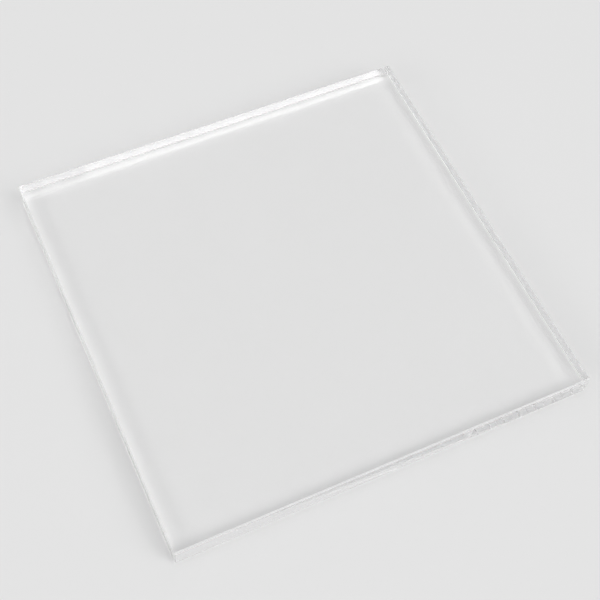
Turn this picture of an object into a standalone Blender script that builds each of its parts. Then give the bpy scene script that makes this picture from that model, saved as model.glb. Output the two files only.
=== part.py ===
# Clear acrylic sheet: one square offcut of cast sheet, lying flat.
#
# The origin is the middle of the underside. +X runs along the near edge, +Y from the near edge
# to the far edge, and +Z up through the thickness. All sizes are in metres.

import math

import bmesh
import bpy
from mathutils import Vector

# Size of the sheet
LENGTH = 0.1016         # along the near edge, four inches
WIDTH = 0.1016          # from the near edge to the far edge, four inches
THICKNESS = 0.0056      # between the two moulded faces, nominal quarter inch

# Sharp edges taken off after the cut
ARRIS = 0.00035         # width of the scraped chamfer round the upper and lower faces
ARRIS_SEGMENTS = 1
CORNER = 0.00050        # width of the rounding down the four upright corners
CORNER_SEGMENTS = 4

# Angle between faces above which an edge counts as an arris
ARRIS_ANGLE = math.radians(50)

# Colour, roughness and clearness of the plastic
ACRYLIC_COLOUR = (0.93, 0.95, 0.95, 1.0)
ACRYLIC_ROUGHNESS = 0.02
ACRYLIC_IOR = 1.49
ACRYLIC_TRANSMISSION = 1.0


def clear_scene():
    """Remove every object, so that the part is all there is."""
    for obj in list(bpy.data.objects):
        bpy.data.objects.remove(obj, do_unlink=True)


def clear_acrylic():
    """Colourless cast acrylic with its moulded gloss."""
    material = bpy.data.materials.new("clear_acrylic")
    material.use_nodes = True
    shader = material.node_tree.nodes["Principled BSDF"]
    shader.inputs["Base Color"].default_value = ACRYLIC_COLOUR
    shader.inputs["Roughness"].default_value = ACRYLIC_ROUGHNESS
    shader.inputs["Metallic"].default_value = 0.0
    shader.inputs["IOR"].default_value = ACRYLIC_IOR
    shader.inputs["Transmission Weight"].default_value = ACRYLIC_TRANSMISSION
    material.diffuse_color = ACRYLIC_COLOUR
    return material


def cut_outline():
    """Plan of the sheet, anticlockwise from the near left corner."""
    left, right = -LENGTH / 2, LENGTH / 2
    near, far = -WIDTH / 2, WIDTH / 2
    return [
        Vector((left, near, 0)),
        Vector((right, near, 0)),
        Vector((right, far, 0)),
        Vector((left, far, 0)),
    ]


def extrude_up(mesh, outline, height):
    """Raise a plan into a closed block that stands on Z = 0."""
    floor_face = mesh.faces.new([mesh.verts.new(point) for point in outline])
    raised = bmesh.ops.extrude_face_region(mesh, geom=[floor_face])
    top_verts = [item for item in raised["geom"] if isinstance(item, bmesh.types.BMVert)]
    bmesh.ops.translate(mesh, verts=top_verts, vec=(0, 0, height))
    bmesh.ops.recalc_face_normals(mesh, faces=mesh.faces)


def upright_corners(mesh):
    """The four vertical edges where two cut walls meet."""
    return [edge for edge in mesh.edges if abs(edge.verts[0].co.z - edge.verts[1].co.z) > THICKNESS / 2]


def break_corners(mesh):
    """Round the upright corners by the width a scraper takes off them."""
    bmesh.ops.bevel(
        mesh,
        geom=upright_corners(mesh),
        offset=CORNER,
        offset_type="OFFSET",
        segments=CORNER_SEGMENTS,
        profile=0.5,
        affect="EDGES",
    )


def break_arrises(obj):
    """Chamfer the rims of the upper and lower faces, round the rounded corners too."""
    bevel = obj.modifiers.new("arris", "BEVEL")
    bevel.width = ARRIS
    bevel.segments = ARRIS_SEGMENTS
    bevel.limit_method = "ANGLE"
    bevel.angle_limit = ARRIS_ANGLE
    bevel.miter_outer = "MITER_SHARP"


def acrylic_sheet():
    """The whole part: one solid piece of clear sheet with its cut walls."""
    mesh = bmesh.new()
    extrude_up(mesh, cut_outline(), THICKNESS)
    break_corners(mesh)
    data = bpy.data.meshes.new("acrylic_sheet")
    mesh.to_mesh(data)
    mesh.free()

    obj = bpy.data.objects.new("acrylic_sheet", data)
    bpy.context.collection.objects.link(obj)
    data.materials.append(clear_acrylic())
    break_arrises(obj)
    return obj


clear_scene()
acrylic_sheet()
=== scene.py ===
# %% [markdown]
# # A clear acrylic sheet
#
# The object is a square of clear cast acrylic, 101.6 mm on a side and 5.6 mm thick, lying flat on
# a pale table. There is only one piece of plastic, and nearly all that the eye gets from it comes
# from its edges: bright and dark lines where the cut walls bend and mirror the light.
# The lesson loads the solid model, sets the camera, makes a copy of the sheet by hand, gives it
# the finish of cast and cut acrylic, and lights it.

# %% Load the solid model
import bmesh
import bpy
import math
from mathutils import Matrix, Vector


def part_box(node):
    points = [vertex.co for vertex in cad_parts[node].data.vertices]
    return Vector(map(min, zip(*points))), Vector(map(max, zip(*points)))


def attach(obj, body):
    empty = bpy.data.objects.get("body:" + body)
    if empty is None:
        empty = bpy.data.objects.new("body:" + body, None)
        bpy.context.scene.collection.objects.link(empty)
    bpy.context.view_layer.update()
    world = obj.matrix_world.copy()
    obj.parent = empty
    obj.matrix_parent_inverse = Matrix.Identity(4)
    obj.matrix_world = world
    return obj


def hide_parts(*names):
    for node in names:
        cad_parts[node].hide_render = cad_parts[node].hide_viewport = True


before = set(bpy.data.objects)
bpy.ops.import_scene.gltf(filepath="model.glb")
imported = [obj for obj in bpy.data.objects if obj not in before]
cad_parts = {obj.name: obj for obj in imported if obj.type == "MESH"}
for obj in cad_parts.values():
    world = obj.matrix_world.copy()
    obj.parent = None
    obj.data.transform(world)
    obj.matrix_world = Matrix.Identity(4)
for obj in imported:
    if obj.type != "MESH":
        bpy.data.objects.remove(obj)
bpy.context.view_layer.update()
sheet_low, sheet_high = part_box("acrylic_sheet")
MM = 0.001
print("nodes:", sorted(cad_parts))
print("sheet, mm:", [round(side / MM, 2) for side in sheet_high - sheet_low])

# %% [markdown]
# ## The camera
#
# Four corners of a square are enough to find where a camera stood. The four upper corners in the
# photograph give the azimuth, the elevation, the small roll and the lens. The slant of the upright
# edge at the nearest corner tells that the picture was cropped: the lens pointed a little lower
# than the middle of the frame, so the view is shifted by that much and no more.
# All lengths are in sides of the square, so the camera follows the sheet if its size is changed.

# %% Camera
IMAGE_PIXELS = 600          # width and height of the photograph
FOCAL_PIXELS = 1133.2       # focal length, in pixels of the photograph
CROP_PIXELS = 40            # how far below the middle of the frame the lens pointed
SENSOR_MM = 36.0
AZIMUTH = math.radians(-29.577)
ELEVATION = math.radians(61.092)
ROLL = math.radians(5.426)
DISTANCE_IN_SIDES = 2.5473  # from the lens to the point looked at
AIM_IN_SIDES = (-0.05542, -0.15115)  # the point looked at on the upper face, from its middle

side = sheet_high.x - sheet_low.x
thickness = sheet_high.z - sheet_low.z
aim = Vector((AIM_IN_SIDES[0] * side, AIM_IN_SIDES[1] * side, sheet_high.z))
forward = Vector((
    -math.sin(AZIMUTH) * math.cos(ELEVATION),
    math.cos(AZIMUTH) * math.cos(ELEVATION),
    -math.sin(ELEVATION),
))
level_right = forward.cross(Vector((0, 0, 1))).normalized()
level_up = level_right.cross(forward)
camera_right = math.cos(ROLL) * level_right + math.sin(ROLL) * level_up
camera_up = math.cos(ROLL) * level_up - math.sin(ROLL) * level_right

camera_data = bpy.data.cameras.new("camera")
camera_data.sensor_width = SENSOR_MM
camera_data.lens = SENSOR_MM * FOCAL_PIXELS / IMAGE_PIXELS
camera_data.shift_y = CROP_PIXELS / IMAGE_PIXELS
camera_data.clip_start = MM
camera = bpy.data.objects.new("camera", camera_data)
turn = Matrix((camera_right, camera_up, -forward)).transposed().to_4x4()
camera.matrix_world = Matrix.Translation(aim - forward * DISTANCE_IN_SIDES * side) @ turn
bpy.context.scene.collection.objects.link(camera)
bpy.context.scene.camera = camera
print("lens, mm:", round(camera_data.lens, 1), "camera stands at, mm:",
      [round(v / MM) for v in camera.matrix_world.translation])

# %% [markdown]
# ## Colours and nodes
#
# Colours are picked as they look on a screen, so one function turns such a hex value into the
# linear light that shaders count in. A second small function adds a node with its settings and
# its links, so that each material further down reads like a recipe.

# %% Helpers for materials
def linear(hex_colour):
    """Linear RGBA of an sRGB hex colour."""
    channels = [int(hex_colour[i:i + 2], 16) / 255 for i in (1, 3, 5)]
    return [c / 12.92 if c <= 0.04045 else ((c + 0.055) / 1.055) ** 2.4 for c in channels] + [1.0]


def add(tree, kind, settings=None, **inputs):
    """Add a node. An input is a value, or a socket of another node to link from."""
    node = tree.nodes.new("ShaderNode" + kind)
    for name, value in (settings or {}).items():
        setattr(node, name, value)
    for name, value in inputs.items():
        socket = node.inputs[name.replace("_", " ")]
        if isinstance(value, bpy.types.NodeSocket):
            tree.links.new(value, socket)
        else:
            socket.default_value = value
    return node


def new_material(name):
    """A material with an empty node tree and its output node."""
    material = bpy.data.materials.new(name)
    material.use_nodes = True
    material.node_tree.nodes.clear()
    return material, material.node_tree, material.node_tree.nodes.new("ShaderNodeOutputMaterial")


print("mid grey #808080 is", round(linear("#808080")[0], 3), "in linear light")

# %% [markdown]
# ## The table
#
# The sheet lies on a plain, matt, pale board. A cast sheet is never quite flat, so it touches the
# board in a few places only and has air under nearly all of its lower face. The air matters: the
# lower face mirrors light that comes at a slant only while there is air under it, and the edges
# throw soft shadows instead of a hard dark line. So the board lies half a millimetre lower.

# %% Table
AIR_GAP = 0.5 * MM
TABLE_SIDE = 4.0            # metres, so wide that its edge hardly shows in a low view
BOARD_COLOUR = "#E3E3E3"    # a light grey, as card or laminate has

bpy.ops.object.select_all(action="DESELECT")
bpy.ops.mesh.primitive_plane_add(size=TABLE_SIDE, location=(0, 0, sheet_low.z - AIR_GAP))
table = bpy.context.object
table.name = "table"
matt_white, tree, output = new_material("matt_white_board")
paint = add(tree, "BsdfDiffuse", Color=linear(BOARD_COLOUR))
tree.links.new(paint.outputs[0], output.inputs["Surface"])
table.data.materials.append(matt_white)
print("table top at, mm:", round(table.location.z / MM, 2))

# %% [markdown]
# ## The sheet, made by hand
#
# The solid model has the true outline. Its copy here is made again as by hand, so that faces,
# walls and broken edges can each have a finish of their own. It starts as a block of the right
# size, whose four upright corners are rounded over a little.

# %% Block with broken corners
CORNER = 0.50 * MM          # radius of the rounding
CORNER_FACETS = 4
SHARP = math.radians(57)    # faces that meet at more than this form a sharp edge


def select_edges(obj, wanted):
    """Select just those edges for which wanted says yes, with their vertices, and count them."""
    mesh = bmesh.from_edit_mesh(obj.data)
    bpy.ops.mesh.select_all(action="DESELECT")
    bpy.ops.mesh.select_mode(type="EDGE")
    chosen = [edge for edge in mesh.edges if wanted(edge)]
    for edge in chosen:
        edge.select_set(True)
    bmesh.update_edit_mesh(obj.data)
    return len(chosen)


def select_faces(obj, wanted):
    """Select just those faces for which wanted says yes, and count them."""
    mesh = bmesh.from_edit_mesh(obj.data)
    bpy.ops.mesh.select_all(action="DESELECT")
    bpy.ops.mesh.select_mode(type="FACE")
    chosen = [face for face in mesh.faces if wanted(face)]
    for face in chosen:
        face.select_set(True)
    bmesh.update_edit_mesh(obj.data)
    return len(chosen)


bpy.ops.object.select_all(action="DESELECT")
bpy.ops.mesh.primitive_cube_add(size=1, location=(sheet_low + sheet_high) / 2,
                                scale=sheet_high - sheet_low)
sheet = bpy.context.object
sheet.name = "clear_sheet"
bpy.ops.object.transform_apply(location=True, rotation=True, scale=True)

bpy.ops.object.mode_set(mode="EDIT")
uprights = select_edges(sheet, lambda edge: (
    abs(edge.verts[0].co.z - edge.verts[1].co.z) > thickness / 2 and edge.calc_face_angle() > SHARP))
bpy.ops.mesh.bevel(offset=CORNER, offset_type="OFFSET", segments=CORNER_FACETS, profile=0.5,
                   affect="EDGES")
print("upright corners rounded:", uprights)

# %% [markdown]
# ## The arris
#
# Straight from the cutter the rim is sharp enough to cut a finger, so it is scraped. What is left
# is one flat chamfer, about a third of a millimetre wide on the upper rim. It draws the hair-thin
# bright line along the near and left edges. The lower rim shows inside the far edge as a line that
# is finer still, so its scraping is drawn lighter here than in the solid.

# %% Scraped rim
ARRIS = 0.35 * MM
LOWER_ARRIS = 0.15 * MM
SAME_HEIGHT = MM / 1000


def on_rim(edge, height):
    """An edge at this height where a wall meets the upper or lower face."""
    at_height = all(abs(vert.co.z - height) < SAME_HEIGHT for vert in edge.verts)
    return at_height and edge.calc_face_angle() > SHARP


for height, width in ((sheet_high.z, ARRIS), (sheet_low.z, LOWER_ARRIS)):
    rim = select_edges(sheet, lambda edge: on_rim(edge, height))
    bpy.ops.mesh.bevel(offset=width, offset_type="OFFSET", segments=1, miter_outer="SHARP",
                       affect="EDGES")
    print("rim at, mm:", round(height / MM, 2), "edges scraped:", rim)
bpy.ops.object.mode_set(mode="OBJECT")

# %% [markdown]
# ## Cast acrylic
#
# PMMA, cast between two sheets of polished glass, which leaves both faces with a gloss that needs
# no polishing. It bends light a little less than window glass does: its index is 1.49. It has
# almost no colour of its own. The cast shrinks as it hardens, so the faces are never quite flat:
# they wave by about a thousandth of a millimetre over some centimetres. White as the colour of a
# clear plastic means that nothing is taken from the light that passes through.

# %% Material of the two faces
ACRYLIC_INDEX = 1.491
WAVE_LENGTH = 25 * MM


def acrylic(name, colour, roughness, clearness, relief_mm, height_of):
    """Acrylic with a relief: height_of adds nodes and returns a socket from 0 to 1."""
    material, tree, output = new_material(name)
    place = add(tree, "TexCoord")
    bump = add(tree, "Bump", Strength=1.0, Distance=relief_mm * MM, Height=height_of(tree, place))
    shader = add(tree, "BsdfPrincipled", Base_Color=linear(colour), Roughness=roughness,
                 IOR=ACRYLIC_INDEX, Transmission_Weight=clearness, Normal=bump.outputs["Normal"])
    tree.links.new(shader.outputs[0], output.inputs["Surface"])
    return material


def cast_waves(tree, place):
    """Shallow waves of the cast."""
    waves = add(tree, "TexNoise", Vector=place.outputs["Object"], Scale=1 / WAVE_LENGTH, Detail=1.0)
    return waves.outputs["Fac"]


cast_face = acrylic("cast_acrylic_clear", colour="#FFFFFF", roughness=0.0, clearness=1.0,
                    relief_mm=0.001, height_of=cast_waves)
mirrored = ((ACRYLIC_INDEX - 1) / (ACRYLIC_INDEX + 1)) ** 2
print("a face seen from above mirrors", round(100 * mirrored, 1), "% of the light")

# %% [markdown]
# ## Cut walls and scraped arris
#
# The walls are cut by a diamond cutter, which polishes as it cuts. It leaves upright ripples about
# a tenth of a millimetre apart. That is finer than a pixel of the photograph, so they are drawn
# 0.8 mm apart, and low enough that they only unsettle the lines of light. They run the same way
# on all four walls, so they depend on X + Y only: on each wall one of the two is constant.
# The arris is scraped by hand. It is matt, gathers light from all sides and glints as a pale line.
# The upright corners are rubbed with fine abrasive paper. They are rougher than the arris, which
# keeps them pale: a clear corner would look black, because it sees light that never gets out.

# %% Materials of the cut
RIPPLE_SPACING = 0.8 * MM
CHATTER_LENGTH = 0.3 * MM


def cutter_ripples(tree, place):
    """Upright ripples, never quite alike."""
    axes = add(tree, "SeparateXYZ", Vector=place.outputs["Object"])
    along = add(tree, "Math", {"operation": "ADD"})
    tree.links.new(axes.outputs["X"], along.inputs[0])
    tree.links.new(axes.outputs["Y"], along.inputs[1])
    ripples = add(tree, "TexNoise", {"noise_dimensions": "1D"}, W=along.outputs[0],
                  Scale=1 / RIPPLE_SPACING, Detail=2.0)
    return ripples.outputs["Fac"]


def scraper_chatter(tree, place):
    """Fine marks of the scraper or the abrasive paper."""
    chatter = add(tree, "TexNoise", Vector=place.outputs["Object"], Scale=1 / CHATTER_LENGTH,
                  Detail=3.0)
    return chatter.outputs["Fac"]


cut_wall = acrylic("diamond_cut_acrylic", colour="#FFFFFF", roughness=0.0, clearness=1.0,
                   relief_mm=0.0004, height_of=cutter_ripples)
scraped_arris = acrylic("scraped_acrylic", colour="#F6F6F6", roughness=0.3, clearness=0.7,
                        relief_mm=0.001, height_of=scraper_chatter)
sanded_corner = acrylic("sanded_acrylic", colour="#FAFAFA", roughness=0.8, clearness=0.7,
                        relief_mm=0.001, height_of=scraper_chatter)
for material in (cast_face, cut_wall, scraped_arris, sanded_corner):
    sheet.data.materials.append(material)
print("ripples per wall:", round(side / RIPPLE_SPACING))

# %% [markdown]
# ## Which face gets which finish
#
# All faces start with the first material, the cast one. The others go onto their own faces by the
# way that these point: the walls and the corners stand upright, the arris leans by 45 degrees.

# %% Finishes on their faces
UPRIGHT = 0.1               # below this share of Z in its normal, a face stands upright
LEVEL = 0.9                 # above this one it lies level
SQUARE_ON = 0.999           # above this share of X or Y, an upright face is one of the walls


def is_wall(face):
    """One of the four flat cut walls."""
    square_on = max(abs(face.normal.x), abs(face.normal.y)) > SQUARE_ON
    return abs(face.normal.z) < UPRIGHT and square_on


def is_arris(face):
    """A chamfer of the upper or lower rim."""
    return UPRIGHT < abs(face.normal.z) < LEVEL


def is_corner(face):
    """A facet of a rounded upright corner."""
    return abs(face.normal.z) < UPRIGHT and not is_wall(face)


bpy.ops.object.mode_set(mode="EDIT")
for index, wanted in ((1, is_wall), (2, is_arris), (3, is_corner)):
    count = select_faces(sheet, wanted)
    sheet.active_material_index = index
    bpy.ops.object.material_slot_assign()
    print(sheet.data.materials[index].name, "on faces:", count)
bpy.ops.object.mode_set(mode="OBJECT")
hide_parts("acrylic_sheet")
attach(sheet, "root")

# %% [markdown]
# ## Light
#
# A clear object has no shade of its own: it shows what is around it. Three quarters of the light
# come evenly from a pale room. The rest comes from soft boxes, whose places were read from the
# edges: light that enters one wall leaves by the opposite one, and a wall seen from above through
# the upper face is a mirror. The far wall jumps from pale to white a fifth of the way along, and
# that is the left edge of the key box. The key and the left bank have a brighter core, as cloth
# with a lamp behind it has.
#
# The boxes are hidden from the camera, and from glossy rays too, so that the outer faces don't
# mirror them. What is left is the weaker image in the lower face. Otherwise, seen low from the
# right, the left bank would turn half of the upper face white. Light that runs inside the plastic
# leaves it by refraction, so the edges keep all of theirs.

# %% Light
ROOM_COLOUR = "#E0E0E0"
LAMP_DISTANCE = 6.0         # metres, so far off that the whole board is lit evenly
BOUNCES = 48                # light inside the sheet is mirrored many times before it gets out
SOFT_BOXES = (  # azimuth, elevation, width and height in degrees, brightness
    ("key_box", 305.5, 38.5, 31, 37, 1.8),
    ("key_core", 314.5, 45.5, 15, 23, 1.1),
    ("left_bank", 196, 26, 58, 24, 0.7),
    ("left_core", 196, 25, 48, 16, 1.05),
    ("front_high_bank", 268, 62.5, 41, 11, 1.1),
    ("front_bank", 280, 51.5, 30, 11, 0.3),
)

room = bpy.data.worlds.new("pale_room")
bpy.context.scene.world = room
room.use_nodes = True
tree = room.node_tree
tree.nodes.clear()
lit_walls = add(tree, "Background", Color=linear(ROOM_COLOUR))
backdrop = add(tree, "Background", Color=linear(BOARD_COLOUR))
seen = add(tree, "LightPath")
mixed = add(tree, "MixShader", Fac=seen.outputs["Is Camera Ray"])
tree.links.new(lit_walls.outputs[0], mixed.inputs[1])
tree.links.new(backdrop.outputs[0], mixed.inputs[2])
add(tree, "OutputWorld", Surface=mixed.outputs[0])
cycles = bpy.context.scene.cycles
cycles.blur_glossy = 0.0    # keeps the images in the walls sharp
cycles.max_bounces = cycles.transmission_bounces = cycles.glossy_bounces = BOUNCES


def soft_box(name, azimuth, elevation, wide, tall, brightness):
    """A rectangular soft lamp that faces the sheet, of the given apparent size and radiance."""
    azimuth, elevation = math.radians(azimuth), math.radians(elevation)
    toward = Vector((
        math.cos(azimuth) * math.cos(elevation),
        math.sin(azimuth) * math.cos(elevation),
        math.sin(elevation),
    ))
    level = Vector((0, 0, 1)).cross(toward).normalized()
    data = bpy.data.lights.new(name, "AREA")
    data.shape = "RECTANGLE"
    data.size = 2 * LAMP_DISTANCE * math.tan(math.radians(wide / 2))
    data.size_y = 2 * LAMP_DISTANCE * math.tan(math.radians(tall / 2))
    data.energy = brightness * math.pi * data.size * data.size_y
    lamp = bpy.data.objects.new(name, data)
    turn = Matrix((level, toward.cross(level), toward)).transposed().to_4x4()
    lamp.matrix_world = Matrix.Translation(toward * LAMP_DISTANCE) @ turn
    lamp.visible_camera = False
    lamp.visible_glossy = False
    bpy.context.scene.collection.objects.link(lamp)
    return data


for name, azimuth, elevation, wide, tall, brightness in SOFT_BOXES:
    box = soft_box(name, azimuth, elevation, wide, tall, brightness)
    print(name, "m:", round(box.size, 2), "x", round(box.size_y, 2), "W:", round(box.energy, 1))

# %% [markdown]
# ## View transform
#
# The picture is shown with the Standard view transform.

# %% Standard view transform
bpy.context.scene.view_settings.view_transform = "Standard"
